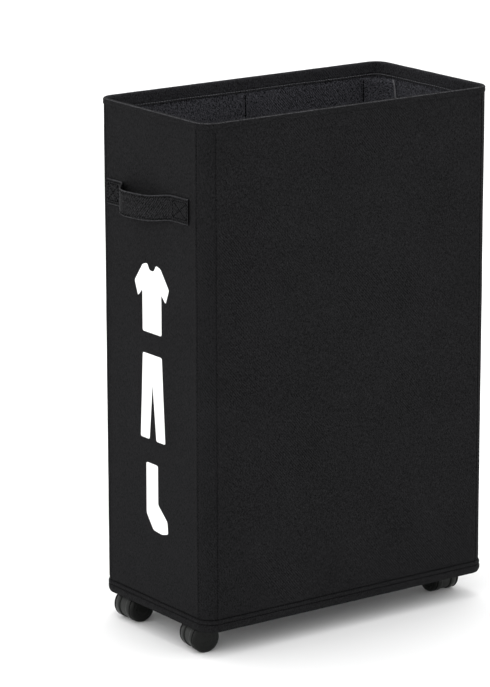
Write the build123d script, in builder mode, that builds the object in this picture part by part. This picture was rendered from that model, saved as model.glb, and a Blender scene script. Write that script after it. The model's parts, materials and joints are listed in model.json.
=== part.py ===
"""Slim rolling laundry hamper: a stiffened fabric bag on four swivelling twin-wheel casters.

Frame: +Z up, X along the wide faces, Y along the narrow faces, origin on the floor
under the centre of the bag.  Front is -Y and left is -X.  All sizes are in millimetres.
"""

from math import cos, radians, sin, sqrt
from build123d import *
import os

os.makedirs("parts", exist_ok=True)

# ---------------------------------------------------------------- driving sizes
body_length = 380.0
body_width = 200.0
body_height = 550.0
corner_radius = 18.0
skirt_z = 28.0
caster_height = 40.0
rim_z = skirt_z + body_height

fabric = 0.8
board = 2.0
base_thickness = 5.0

# Wall layers, each measured inwards from the outermost outline
panel_inset = fabric
board_inset = panel_inset + fabric
liner_inset = board_inset + board
room_inset = liner_inset + fabric

# Levels of the layers under the bag
bottom_z = caster_height
base_z = bottom_z + fabric
floor_z = base_z + base_thickness
room_z = floor_z + fabric

# Rim: a wire loop inside a folded binding that holds the tops of the walls
binding_radius = (room_inset + fabric) / 2
wire_radius = binding_radius - fabric
wire_z = rim_z - binding_radius
wall_top_z = wire_z - wire_radius - 0.2
binding_outer_z = rim_z - 7.0
binding_inner_z = rim_z - 16.0
band_height = 14.0

# Upright seams beside each corner
seam_from_corner_wide = 14.0
seam_from_corner_narrow = 16.0
seam_x = body_length / 2 - seam_from_corner_wide
seam_y = body_width / 2 - seam_from_corner_narrow

# Corner sleeves and the support rods in them
sleeve_leg_wide = 21.0
sleeve_leg_narrow = 30.0
rod_radius = 3.2
rod_wall = 0.8
rod_reach = 9.1
rod_gap = 0.2
rod_top_z = binding_inner_z - 4.0
cap_head = 3.0
cap_plug = 12.0
plug_clearance = 0.02

# Strap handles
strap_width = 28.0
strap_thickness = 2.4
strap_z = 480.0
strap_right_y = -71.5
strap_left_y = 80.5
patch_right = 30.0
patch_left = 23.5
strap_bulge = 17.0

# Casters: the wheel axle trails the swivel pin
stem_x = 162.0
stem_y = 63.0
trail = 11.0
trail_angles = {"front_left": 172.0, "back_left": 180.0, "front_right": 90.0, "back_right": 90.0}
wheel_radius = 16.0
wheel_inner_face = 5.7
wheel_shoulder = 14.5
wheel_outer_face = 18.0
hub_radius = 7.0
axle_radius = 2.0
axle_half_length = 16.0
running_clearance = 0.05
pin_radius = 3.5
pin_bottom_z = 22.0
plate_size = 38.0
plate_thickness = 2.0
plate_hole_spacing = 28.0
screw_radius = 1.6
screw_head_radius = 3.0
screw_head_height = 1.4
screw_depth_in_board = 4.0
housing_half_width = 5.4
housing_radius = 15.0
flange_radius = 13.0
flange_bottom_z = 33.0
flange_top_z = caster_height - plate_thickness - 0.2

# Corner names with their signs along X and Y
corners = {
    "front_left": (-1, -1),
    "front_right": (1, -1),
    "back_left": (-1, 1),
    "back_right": (1, 1),
}


def save(builder, name):
    """Label a finished piece and write it to its own file."""
    builder.part.label = name
    export_step(builder.part, f"parts/{name}.step")


def outline(inset, mode=Mode.ADD):
    """Rounded outline of the bag, moved inwards by an inset."""
    RectangleRounded(
        body_length - 2 * inset,
        body_width - 2 * inset,
        corner_radius - inset,
        mode=mode,
    )


# ---------------------------------------------------------------- fabric walls
def ring(outer_inset, inner_inset, low_z, high_z):
    """A closed fabric ring between two insets and two levels."""
    with BuildPart() as made:
        with BuildSketch(Plane.XY.offset(low_z)):
            outline(outer_inset)
            outline(inner_inset, mode=Mode.SUBTRACT)
        extrude(amount=high_z - low_z)
    return made


def panel(size_x, size_y, centre_x, centre_y):
    """The stretch of the outer wall that lies inside a plan rectangle."""
    with BuildPart() as made:
        with BuildSketch(Plane.XY.offset(skirt_z)):
            outline(panel_inset)
            outline(board_inset, mode=Mode.SUBTRACT)
            with Locations((centre_x, centre_y)):
                Rectangle(size_x, size_y, mode=Mode.INTERSECT)
        extrude(amount=wall_top_z - skirt_z)
    return made


save(panel(2 * seam_x, corner_radius, 0, -body_width / 2), "front_panel")
save(panel(2 * seam_x, corner_radius, 0, body_width / 2), "back_panel")
save(panel(corner_radius, 2 * seam_y, -body_length / 2, 0), "left_panel")
save(panel(corner_radius, 2 * seam_y, body_length / 2, 0), "right_panel")

# Four curved strips close the corners between the flat panels
with BuildPart() as corner_panels:
    with BuildSketch(Plane.XY.offset(skirt_z)):
        outline(panel_inset)
        outline(board_inset, mode=Mode.SUBTRACT)
        Rectangle(2 * seam_x, body_width, mode=Mode.SUBTRACT)
        Rectangle(body_length, 2 * seam_y, mode=Mode.SUBTRACT)
    extrude(amount=wall_top_z - skirt_z)
save(corner_panels, "corner_panels")

save(ring(liner_inset, room_inset, floor_z, wall_top_z), "liner")
save(ring(0, panel_inset, skirt_z, skirt_z + band_height), "bottom_band")


# ---------------------------------------------------------------- stiffening boards
def wall_board(length_x, length_y, centre_x, centre_y):
    """Flat board between the outer panel and the liner."""
    with BuildPart() as made:
        with BuildSketch(Plane.XY.offset(floor_z)):
            with Locations((centre_x, centre_y)):
                Rectangle(length_x, length_y)
        extrude(amount=wall_top_z - floor_z)
    return made


board_length_wide = body_length - 2 * corner_radius - 4.0
board_length_narrow = body_width - 2 * corner_radius - 4.0
board_x = body_length / 2 - board_inset - board / 2
board_y = body_width / 2 - board_inset - board / 2
save(wall_board(board_length_wide, board, 0, -board_y), "front_board")
save(wall_board(board_length_wide, board, 0, board_y), "back_board")
save(wall_board(board, board_length_narrow, -board_x, 0), "left_board")
save(wall_board(board, board_length_narrow, board_x, 0), "right_board")


def screw_spots():
    """Centres of the sixteen caster screws, four round each swivel pin."""
    spots = []
    half = plate_hole_spacing / 2
    for side_x, side_y in corners.values():
        for dx in (-half, half):
            for dy in (-half, half):
                spots.append((side_x * stem_x + dx, side_y * stem_y + dy))
    return spots


with BuildPart() as bottom_panel:
    with BuildSketch(Plane.XY.offset(bottom_z)):
        outline(board_inset)
        with Locations(screw_spots()):
            Circle(screw_radius, mode=Mode.SUBTRACT)
    extrude(amount=fabric)
save(bottom_panel, "bottom_panel")

with BuildPart() as base_board:
    with BuildSketch(Plane.XY.offset(base_z)):
        outline(board_inset)
    extrude(amount=base_thickness)
    with BuildSketch(Plane.XY.offset(base_z)):
        with Locations(screw_spots()):
            Circle(screw_radius)
    extrude(amount=screw_depth_in_board, mode=Mode.SUBTRACT)
save(base_board, "base_board")

with BuildPart() as floor_lining:
    with BuildSketch(Plane.XY.offset(floor_z)):
        outline(room_inset)
    extrude(amount=fabric)
save(floor_lining, "floor_lining")

# ---------------------------------------------------------------- rim
rim_half_x = body_length / 2 - binding_radius
rim_half_y = body_width / 2 - binding_radius
rim_corner = corner_radius - binding_radius
rim_straight_x = rim_half_x - rim_corner
rim_straight_y = rim_half_y - rim_corner


def rim_loop():
    """Centreline of the rim wire, once round from the middle of the front."""
    front_right = Line((0, -rim_half_y), (rim_straight_x, -rim_half_y))
    turn = JernArc(front_right @ 1, front_right % 1, rim_corner, 90)
    right = Line(turn @ 1, (rim_half_x, rim_straight_y))
    turn = JernArc(right @ 1, right % 1, rim_corner, 90)
    back = Line(turn @ 1, (-rim_straight_x, rim_half_y))
    turn = JernArc(back @ 1, back % 1, rim_corner, 90)
    left = Line(turn @ 1, (-rim_half_x, -rim_straight_y))
    turn = JernArc(left @ 1, left % 1, rim_corner, 90)
    Line(turn @ 1, (0, -rim_half_y))


# The section plane looks along the loop, with its local x inwards and its local y up
rim_section_plane = Plane(origin=(0, -rim_half_y, wire_z), x_dir=(0, 1, 0), z_dir=(1, 0, 0))

with BuildPart() as rim_wire:
    with BuildLine(Plane.XY.offset(wire_z)):
        rim_loop()
    with BuildSketch(rim_section_plane):
        Circle(wire_radius)
    sweep()
save(rim_wire, "rim_wire")

with BuildPart() as rim_binding:
    with BuildLine(Plane.XY.offset(wire_z)):
        rim_loop()
    with BuildSketch(rim_section_plane):
        with BuildLine():
            outer_drop = binding_outer_z - wire_z
            inner_drop = binding_inner_z - wire_z
            Line((-wire_radius, outer_drop), (-binding_radius, outer_drop))
            Line((-binding_radius, outer_drop), (-binding_radius, 0))
            ThreePointArc((-binding_radius, 0), (0, binding_radius), (binding_radius, 0))
            Line((binding_radius, 0), (binding_radius, inner_drop))
            Line((binding_radius, inner_drop), (wire_radius, inner_drop))
            Line((wire_radius, inner_drop), (wire_radius, 0))
            ThreePointArc((wire_radius, 0), (0, wire_radius), (-wire_radius, 0))
            Line((-wire_radius, 0), (-wire_radius, outer_drop))
        make_face()
    sweep()
save(rim_binding, "rim_binding")

# ---------------------------------------------------------------- corner sleeves and rods
room_x = body_length / 2 - room_inset
room_y = body_width / 2 - room_inset
sleeve_x = body_length / 2 - sleeve_leg_wide
sleeve_y = body_width / 2 - sleeve_leg_narrow
corner_centre_x = body_length / 2 - corner_radius
corner_centre_y = body_width / 2 - corner_radius
rod_x = corner_centre_x + rod_reach / sqrt(2)
rod_y = corner_centre_y + rod_reach / sqrt(2)
rod_bottom_z = room_z + rod_gap

for corner, (side_x, side_y) in corners.items():
    with BuildPart() as corner_sleeve:
        with BuildSketch(Plane.XY.offset(room_z)):
            with BuildLine():
                Polyline(
                    (side_x * sleeve_x, side_y * room_y),
                    (side_x * (sleeve_x - 1.0), side_y * room_y),
                    (side_x * room_x, side_y * (sleeve_y - 1.5)),
                    (side_x * room_x, side_y * sleeve_y),
                    close=True,
                )
            make_face()
        extrude(amount=binding_inner_z - room_z - 1.0)
    save(corner_sleeve, f"corner_sleeve_{corner}")

    with BuildPart() as support_rod:
        with BuildSketch(Plane.XY.offset(rod_bottom_z + cap_head)):
            with Locations((side_x * rod_x, side_y * rod_y)):
                Circle(rod_radius)
                Circle(rod_radius - rod_wall, mode=Mode.SUBTRACT)
        extrude(amount=rod_top_z - rod_bottom_z - 2 * cap_head)
    save(support_rod, f"support_rod_{corner}")

    with BuildPart() as rod_caps:
        for head_z, plug_direction in ((rod_bottom_z, 1), (rod_top_z, -1)):
            with BuildSketch(Plane.XY.offset(head_z)):
                with Locations((side_x * rod_x, side_y * rod_y)):
                    Circle(rod_radius)
            extrude(amount=plug_direction * cap_head)
            with BuildSketch(Plane.XY.offset(head_z + plug_direction * cap_head)):
                with Locations((side_x * rod_x, side_y * rod_y)):
                    Circle(rod_radius - rod_wall - plug_clearance)
            extrude(amount=plug_direction * cap_plug)
    save(rod_caps, f"rod_caps_{corner}")

# ---------------------------------------------------------------- strap handles
face_x = body_length / 2 - panel_inset
strap_middle = face_x + strap_thickness / 2


def strap_handle(side):
    """Webbing strap sewn flat at both ends and standing out as a loop between them."""
    right_end = patch_right + strap_right_y
    left_end = strap_left_y - patch_left
    with BuildPart() as made:
        with BuildSketch(Plane.XY.offset(strap_z - strap_width / 2)):
            with BuildLine():
                Line((side * strap_middle, -side * strap_right_y), (side * strap_middle, -side * right_end))
                Spline(
                    (side * strap_middle, -side * right_end),
                    (side * (strap_middle + 0.62 * strap_bulge), -side * (right_end + 30.0)),
                    (side * (strap_middle + 0.97 * strap_bulge), -side * (left_end - 34.0)),
                    (side * (strap_middle + 0.56 * strap_bulge), -side * (left_end - 13.0)),
                    (side * strap_middle, -side * left_end),
                    tangents=[(0, -side), (0, -side)],
                )
                Line((side * strap_middle, -side * left_end), (side * strap_middle, -side * strap_left_y))
            trace(line_width=strap_thickness)
        extrude(amount=strap_width)
    return made


save(strap_handle(-1), "handle_left")
save(strap_handle(1), "handle_right")

# Box stitching on the four sewn patches
thread = 0.6
stitch_border = 3.0
stitch_x = face_x + strap_thickness
patches = [
    (strap_right_y, strap_right_y + patch_right),
    (strap_left_y - patch_left, strap_left_y),
]

with BuildPart() as handle_stitching:
    for side in (-1, 1):
        for low_y, high_y in patches:
            centre_y = -side * (low_y + high_y) / 2
            across = high_y - low_y - 2 * stitch_border
            upright = strap_width - 2 * stitch_border
            with BuildSketch(Plane(origin=(side * stitch_x, centre_y, strap_z), x_dir=(0, side, 0), z_dir=(side, 0, 0))):
                Rectangle(across, upright)
                Rectangle(across - 2 * thread, upright - 2 * thread, mode=Mode.SUBTRACT)
            extrude(amount=thread / 2)
save(handle_stitching, "handle_stitching")

# Upright top-stitching where every corner starts to turn
seam_low_z = skirt_z + band_height + 1.0
seam_high_z = binding_outer_z - 1.0
with BuildPart() as seam_stitching:
    with BuildSketch(Plane.XY.offset(seam_low_z)):
        for side_x, side_y in corners.values():
            with Locations((side_x * corner_centre_x, side_y * (body_width / 2 - panel_inset))):
                Rectangle(thread, thread / 2, align=(Align.CENTER, Align.MIN if side_y > 0 else Align.MAX))
            with Locations((side_x * (body_length / 2 - panel_inset), side_y * corner_centre_y)):
                Rectangle(thread / 2, thread, align=(Align.MIN if side_x > 0 else Align.MAX, Align.CENTER))
    extrude(amount=seam_high_z - seam_low_z)
save(seam_stitching, "seam_stitching")

# ---------------------------------------------------------------- printed garment signs
print_top_z = 413.0
print_bottom_z = 119.0
print_centre_y = -1.0
print_width = 64.0
print_film = 0.2
shirt_height = 74.0
trousers_height = 96.0
sock_height = 74.0

with BuildPart() as printed_signs:
    with BuildSketch(Plane(origin=(-face_x, print_centre_y, 0), x_dir=(0, -1, 0), z_dir=(-1, 0, 0))):
        half = print_width / 2
        shirt_z = print_top_z - shirt_height
        with BuildLine():
            Polyline(
                (-17, shirt_z),
                (-17, shirt_z + 44),
                (-25, shirt_z + 38),
                (-half, shirt_z + 52),
                (-15, print_top_z),
                (-8, print_top_z),
                (0, print_top_z - 7),
                (8, print_top_z),
                (15, print_top_z),
                (half, shirt_z + 52),
                (25, shirt_z + 38),
                (17, shirt_z + 44),
                (17, shirt_z),
                close=True,
            )
        make_face()
        trousers_top = (print_top_z + print_bottom_z) / 2 + trousers_height / 2
        trousers_z = trousers_top - trousers_height
        with BuildLine():
            Polyline(
                (-22, trousers_z),
                (-18, trousers_top),
                (18, trousers_top),
                (22, trousers_z),
                (6, trousers_z),
                (0, trousers_top - 30),
                (-6, trousers_z),
                close=True,
            )
        make_face()
        sock_top = print_bottom_z + sock_height
        with BuildLine():
            Polyline(
                (-14, sock_top),
                (8, sock_top),
                (8, print_bottom_z + 30),
                (26, print_bottom_z + 16),
                (26, print_bottom_z + 4),
                (18, print_bottom_z),
                (4, print_bottom_z),
                (-14, print_bottom_z + 16),
                close=True,
            )
        make_face()
    extrude(amount=print_film)
save(printed_signs, "printed_signs")


# ---------------------------------------------------------------- casters
def caster_planes(corner):
    """Plan plane at the swivel pin and side plane through the middle of the wheels."""
    side_x, side_y = corners[corner]
    angle = radians(trail_angles[corner])
    forward = Vector(cos(angle), sin(angle), 0)
    sideways = forward.cross(Vector(0, 0, 1))
    stem = Vector(side_x * stem_x, side_y * stem_y, 0)
    plan = Plane(origin=stem, x_dir=forward, z_dir=(0, 0, 1))
    side = Plane(origin=stem, x_dir=forward, z_dir=sideways)
    return plan, side


def caster_wheel(side, direction):
    """One wheel of a pair, turned about the axle, with a blind bore for the axle end."""
    axle_centre = side.from_local_coords((trail, wheel_radius, 0))
    outwards = side.z_dir * direction
    profile_plane = Plane(origin=axle_centre, x_dir=outwards, z_dir=outwards.cross(Vector(0, 0, 1)))
    bore = axle_radius + running_clearance
    bore_end = axle_half_length + 0.2
    with BuildPart() as made:
        with BuildSketch(profile_plane):
            with BuildLine():
                Polyline(
                    (wheel_outer_face, 0),
                    (bore_end, 0),
                    (bore_end, bore),
                    (wheel_inner_face, bore),
                    (wheel_inner_face, wheel_radius - 1.0),
                    (wheel_inner_face + 1.0, wheel_radius),
                    (wheel_shoulder, wheel_radius),
                )
                ThreePointArc(
                    (wheel_shoulder, wheel_radius),
                    (wheel_shoulder + 2.2, wheel_radius - 1.3),
                    (wheel_shoulder + 3.2, wheel_radius - 3.4),
                )
                Polyline(
                    (wheel_shoulder + 3.2, wheel_radius - 3.4),
                    (wheel_outer_face, hub_radius),
                    (wheel_outer_face, 0),
                )
            make_face()
        revolve(axis=Axis(axle_centre, outwards))
    return made


for corner in corners:
    plan, side = caster_planes(corner)

    with BuildPart() as caster_plate:
        with BuildSketch(Plane(plan.origin + Vector(0, 0, caster_height - plate_thickness))):
            RectangleRounded(plate_size, plate_size, 4.0)
            Circle(pin_radius, mode=Mode.SUBTRACT)
            with GridLocations(plate_hole_spacing, plate_hole_spacing, 2, 2):
                Circle(screw_radius, mode=Mode.SUBTRACT)
        extrude(amount=plate_thickness)
    save(caster_plate, f"caster_plate_{corner}")

    with BuildPart() as swivel_pin:
        with BuildSketch(plan.offset(pin_bottom_z)):
            Circle(pin_radius)
        extrude(amount=caster_height - pin_bottom_z)
        chamfer(swivel_pin.edges().sort_by(Axis.Z)[0], 0.6)
    save(swivel_pin, f"swivel_pin_{corner}")

    with BuildPart() as caster_housing:
        with BuildSketch(side):
            with Locations((trail, wheel_radius)):
                Circle(housing_radius)
            with Locations((trail / 2 + 1.0, (wheel_radius + flange_bottom_z) / 2)):
                Rectangle(trail + 14.0, flange_bottom_z - wheel_radius)
        extrude(amount=housing_half_width, both=True)
        with BuildSketch(plan.offset(flange_bottom_z)):
            Circle(flange_radius)
        extrude(amount=flange_top_z - flange_bottom_z)
        with BuildSketch(plan.offset(pin_bottom_z - 0.2)):
            Circle(pin_radius + running_clearance)
        extrude(amount=flange_top_z - pin_bottom_z + 0.2, mode=Mode.SUBTRACT)
        with BuildSketch(side):
            with Locations((trail, wheel_radius)):
                Circle(axle_radius)
        extrude(amount=housing_half_width, both=True, mode=Mode.SUBTRACT)
    save(caster_housing, f"caster_housing_{corner}")

    with BuildPart() as axle:
        with BuildSketch(side):
            with Locations((trail, wheel_radius)):
                Circle(axle_radius)
        extrude(amount=axle_half_length, both=True)
    save(axle, f"axle_{corner}")

    save(caster_wheel(side, 1), f"wheel_a_{corner}")
    save(caster_wheel(side, -1), f"wheel_b_{corner}")

# Sixteen identical pan-head screws hold the caster plates to the base board
screw_seat_z = caster_height - plate_thickness
screw_length = plate_thickness + fabric + screw_depth_in_board
with BuildPart() as caster_screws:
    with BuildSketch(Plane.XY.offset(screw_seat_z)):
        with Locations(screw_spots()):
            Circle(screw_head_radius)
    extrude(amount=-screw_head_height)
    with BuildSketch(Plane.XY.offset(screw_seat_z)):
        with Locations(screw_spots()):
            Circle(screw_radius)
    extrude(amount=screw_length)
save(caster_screws, "caster_screws")
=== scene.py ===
"""Looks of the slim rolling laundry hamper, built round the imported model.

Lengths are in metres, in the model's own frame: +Z up, the front at -Y, the printed end at -X.
"""

import json
from math import ceil, cos, exp, hypot, pi, radians, sin, sqrt

import bmesh
import bpy
from mathutils import Matrix, Vector, noise


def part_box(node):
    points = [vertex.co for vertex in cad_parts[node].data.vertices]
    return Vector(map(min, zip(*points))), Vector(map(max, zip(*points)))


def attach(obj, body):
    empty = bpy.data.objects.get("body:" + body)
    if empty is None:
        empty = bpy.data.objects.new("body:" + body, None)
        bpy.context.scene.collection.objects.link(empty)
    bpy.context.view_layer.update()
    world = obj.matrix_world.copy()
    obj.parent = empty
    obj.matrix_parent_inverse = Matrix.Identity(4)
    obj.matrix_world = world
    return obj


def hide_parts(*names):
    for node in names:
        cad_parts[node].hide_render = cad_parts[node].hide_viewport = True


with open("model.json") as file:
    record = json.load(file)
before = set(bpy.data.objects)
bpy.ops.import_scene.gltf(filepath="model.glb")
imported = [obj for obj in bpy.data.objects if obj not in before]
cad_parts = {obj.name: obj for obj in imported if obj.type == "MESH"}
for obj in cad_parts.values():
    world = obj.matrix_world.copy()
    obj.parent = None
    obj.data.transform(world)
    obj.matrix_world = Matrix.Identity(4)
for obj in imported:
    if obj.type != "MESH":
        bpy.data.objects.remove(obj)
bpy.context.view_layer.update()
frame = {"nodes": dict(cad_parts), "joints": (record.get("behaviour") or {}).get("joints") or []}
mm = 0.001
up = Vector((0, 0, 1))

# -------------------- sizes from the frame
band_low, band_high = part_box("bottom_band")
rim_low, rim_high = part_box("rim_binding")
room_low, room_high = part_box("floor_lining")
half_x = band_high.x
half_y = band_high.y
corner_radius = 18 * mm
wall_inset = half_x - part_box("right_panel")[1].x
room_inset = half_x - room_high.x
rim_z = rim_high.z
binding_inner_z = rim_low.z
binding_outer_z = rim_z - 7 * mm
band_top_z = band_high.z
skirt_z = band_low.z
floor_z = room_low.z

straight_x = half_x - corner_radius
straight_y = half_y - corner_radius
arc = corner_radius * pi / 2
s_right = straight_x + arc
s_back = s_right + 2 * straight_y + arc
s_left = s_back + 2 * straight_x + arc
s_front_end = s_left + 2 * straight_y + arc
perimeter = s_front_end + straight_x

# Front, right, back and left: the angle of the outward normal, the far corner's centre, the length
sides = [
    (-pi / 2, straight_x, -straight_y, 2 * straight_x),
    (0.0, straight_x, straight_y, 2 * straight_y),
    (pi / 2, -straight_x, straight_y, 2 * straight_x),
    (pi, -straight_x, -straight_y, 2 * straight_y),
]


def outline(s):
    """Point and outward normal on the outermost outline, a way s round from the front's middle."""
    s = (s + straight_x) % perimeter
    for turn, end_x, end_y, length in sides:
        along = Vector((-sin(turn), cos(turn), 0))
        normal = Vector((cos(turn), sin(turn), 0))
        if s < length:
            return Vector((end_x, end_y, 0)) + normal * corner_radius - along * (length - s), normal
        s -= length
        if s < arc:
            return corner_point(end_x, end_y, turn + s / corner_radius)
        s -= arc
    return corner_point(end_x, end_y, turn + pi / 2)


def corner_point(centre_x, centre_y, angle):
    """Point and normal on a rounded corner of the outline."""
    normal = Vector((cos(angle), sin(angle), 0))
    return Vector((centre_x, centre_y, 0)) + normal * corner_radius, normal


def around_wide(x, side):
    """The way round to a place x on the front (side -1) or the back (side 1)."""
    return x % perimeter if side < 0 else s_back + straight_x - x


def around_narrow(y, side):
    """The way round to a place y on the left (side -1) or the right (side 1)."""
    return s_left + straight_y - y if side < 0 else s_right + straight_y + y


def middle_of(node):
    """Middle of a node's box."""
    low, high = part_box(node)
    return (low + high) / 2


def round_distance(a, b):
    """Signed way from b to a round the outline, the short way."""
    return (a - b + perimeter / 2) % perimeter - perimeter / 2


seam_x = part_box("front_panel")[1].x
seam_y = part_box("left_panel")[1].y
narrow_seams = [around_narrow(y, side) for side in (-1, 1) for y in (-seam_y, seam_y)]
wide_seams = [around_wide(x, side) for side in (-1, 1) for x in (-seam_x, seam_x)]
seams = narrow_seams + wide_seams


def stations(coarse, fine=None, spots=(), reach=5 * mm):
    """Places round the outline: evenly spread, and closer together near some spots."""
    count = ceil(perimeter / coarse)
    places = [i * perimeter / count for i in range(count)]
    if fine:
        places = [s for s in places if min(abs(round_distance(s, t)) for t in spots) > reach]
        steps = int(reach / fine)
        for t in spots:
            places += [(t + i * fine) % perimeter for i in range(-steps, steps + 1)]
    return sorted(set(round(s, 7) for s in places))


def wave(point, frequency, seed):
    """Smooth noise between about -1 and 1; frequency is per metre."""
    return noise.noise(point * frequency + Vector((seed, 2.3 * seed, -1.7 * seed)))


def ease(value):
    """Smooth step from 0 to 1."""
    value = min(max(value, 0.0), 1.0)
    return value * value * (3 - 2 * value)


def hump(way, width, power=2):
    """Smooth bump: 1 in its middle, falling to 0 over about its width."""
    return exp(-((way / width) ** power))


# -------------------- mesh tools
def link(made):
    """Puts a new object into the scene."""
    bpy.context.scene.collection.objects.link(made)
    return made


def make_object(name, vertices, faces, material, uvs=None, smooth=True):
    """A mesh object with one material and, where given, a UV for every face corner."""
    mesh = bpy.data.meshes.new(name)
    mesh.from_pydata(vertices, [], faces)
    if uvs:
        layer = mesh.uv_layers.new(name="cloth")
        flat = [c for uv in uvs for c in uv]
        layer.data.foreach_set("uv", flat)
    mesh.materials.append(material)
    mesh.polygons.foreach_set("use_smooth", [smooth] * len(mesh.polygons))
    mesh.update()
    return link(bpy.data.objects.new(name, mesh))


def face_outwards(made):
    """Turns every face of a closed mesh outwards."""
    work = bmesh.new()
    work.from_mesh(made.data)
    bmesh.ops.recalc_face_normals(work, faces=work.faces)
    work.to_mesh(made.data)
    work.free()
    return made


def paint_rows(made, polygons, rows, finishes):
    """Gives some rows of faces their own material: finishes are (material, numbers of the rows)."""
    for finish, numbers in finishes:
        made.data.materials.append(finish)
        for face in polygons:
            if face.index % rows in numbers:
                face.material_index = len(made.data.materials) - 1


def widths_along(profile):
    """Running length round a closed profile."""
    widths = [0.0]
    for a, b in zip(profile, profile[1:] + profile[:1]):
        widths.append(widths[-1] + hypot(b[0] - a[0], b[1] - a[1]))
    return widths


def tube_faces(rings, lengths, widths):
    """Faces and UVs between neighbouring rings; the tube closes on itself if lengths has one more."""
    rows = len(widths) - 1
    faces = []
    uvs = []
    for i in range(len(lengths) - 1):
        j = (i + 1) % rings
        for k in range(rows):
            m = (k + 1) % rows
            faces.append((i * rows + k, j * rows + k, j * rows + m, i * rows + m))
            uvs += [(lengths[i], widths[k]), (lengths[i + 1], widths[k])]
            uvs += [(lengths[i + 1], widths[k + 1]), (lengths[i], widths[k + 1])]
    return faces, uvs


def sweep_round(name, places, section, material, finishes=()):
    """Closed band round the outline; section(s) gives its closed profile as (out, z) points.

    Each of the finishes is a material and the profile points at which its faces start.
    """
    vertices = []
    for s in places:
        base, normal = outline(s)
        for out, z in section(s):
            point = base + normal * out
            vertices.append((point.x, point.y, z))
    widths = widths_along(section(places[0]))
    faces, uvs = tube_faces(len(places), places + [perimeter + places[0]], widths)
    made = make_object(name, vertices, faces, material, uvs)
    paint_rows(made, made.data.polygons, len(widths) - 1, finishes)
    return face_outwards(made)


def sweep_path(name, path, section, material, finishes=(), end_material=None):
    """Closed tube of any section along frames (point, side, up); section(i) gives (side, up) points.

    Each of the finishes is a material and the section points at which its faces start.
    """
    vertices = []
    lengths = [0.0]
    for i, (point, side, up) in enumerate(path):
        if i:
            lengths.append(lengths[-1] + (point - path[i - 1][0]).length)
        for a, b in section(i):
            vertices.append(tuple(point + side * a + up * b))
    rows = len(section(0))
    faces, uvs = tube_faces(len(path), lengths, widths_along(section(len(path) // 2)))
    side_count = len(faces)
    last = (len(path) - 1) * rows
    faces += [tuple(range(rows)), tuple(last + k for k in range(rows))]
    uvs += [(a, b) for a, b in section(0)] + [(a, b) for a, b in section(len(path) - 1)]
    made = make_object(name, vertices, faces, material, uvs)
    paint_rows(made, made.data.polygons[:side_count], rows, finishes)
    if end_material:
        made.data.materials.append(end_material)
        for face in made.data.polygons[side_count:]:
            face.material_index = len(made.data.materials) - 1
    return face_outwards(made)


def lathe(name, profile, centre, axis, material, finishes=(), segments=72):
    """Solid of revolution; profile is (along the axis, radius) from one pole to the other.

    Each of the finishes is a material and the profile points at which its faces start.
    """
    axis = axis.normalized()
    across = axis.orthogonal().normalized()
    other = axis.cross(across)
    vertices = []
    for along, radius in profile[1:-1]:
        for i in range(segments):
            angle = 2 * pi * i / segments
            ray = across * cos(angle) + other * sin(angle)
            vertices.append(tuple(centre + axis * along + ray * radius))
    start = len(vertices)
    vertices.append(tuple(centre + axis * profile[0][0]))
    vertices.append(tuple(centre + axis * profile[-1][0]))
    rings = len(profile) - 2
    faces = []
    for i in range(segments):
        j = (i + 1) % segments
        faces.append((start, i, j))
        for k in range(rings - 1):
            faces.append((k * segments + i, (k + 1) * segments + i, (k + 1) * segments + j, k * segments + j))
        faces.append((start + 1, (rings - 1) * segments + j, (rings - 1) * segments + i))
    made = make_object(name, vertices, faces, material)
    paint_rows(made, made.data.polygons, rings + 1, finishes)
    return face_outwards(made)


def join(name, objects):
    """Joins objects into the first one and renames it."""
    bpy.ops.object.select_all(action="DESELECT")
    for made in objects:
        made.select_set(True)
    bpy.context.view_layer.objects.active = objects[0]
    bpy.ops.object.join()
    objects[0].name = name
    return objects[0]


def bevel(made, width):
    """Rounds the sharp edges of a mesh and keeps its flat faces flat in shading."""
    modifier = made.modifiers.new("round", "BEVEL")
    modifier.width = width
    modifier.segments = 3
    modifier.limit_method = "ANGLE"
    modifier.angle_limit = radians(30)
    modifier.harden_normals = True
    bpy.context.view_layer.objects.active = made
    bpy.ops.object.select_all(action="DESELECT")
    made.select_set(True)
    bpy.ops.object.modifier_apply(modifier="round")
    return made


def stitches(name, places, length, radius, material):
    """Rows of short bowed stitches; each place is (point, along, outwards)."""
    rings = 5
    sides = 6
    vertices = []
    faces = []
    for point, along, outwards in places:
        across = along.cross(outwards)
        start = len(vertices)
        for i in range(rings):
            t = -1 + 2 * i / (rings - 1)
            swell = radius * (0.35 + 0.65 * sqrt(max(0.0, 1 - t * t)))
            middle = point + along * (t * length / 2) + outwards * (radius * (0.55 - 1.1 * t * t))
            for k in range(sides):
                angle = 2 * pi * k / sides
                ray = across * cos(angle) + outwards * sin(angle)
                vertices.append(tuple(middle + ray * swell))
        for i in range(rings - 1):
            for k in range(sides):
                m = (k + 1) % sides
                a = start + i * sides
                faces.append((a + k, a + m, a + sides + m, a + sides + k))
        faces.append(tuple(start + k for k in reversed(range(sides))))
        faces.append(tuple(start + (rings - 1) * sides + k for k in range(sides)))
    return face_outwards(make_object(name, vertices, faces, material))


# -------------------- materials
weave_pitch = 0.62 * mm


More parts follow.
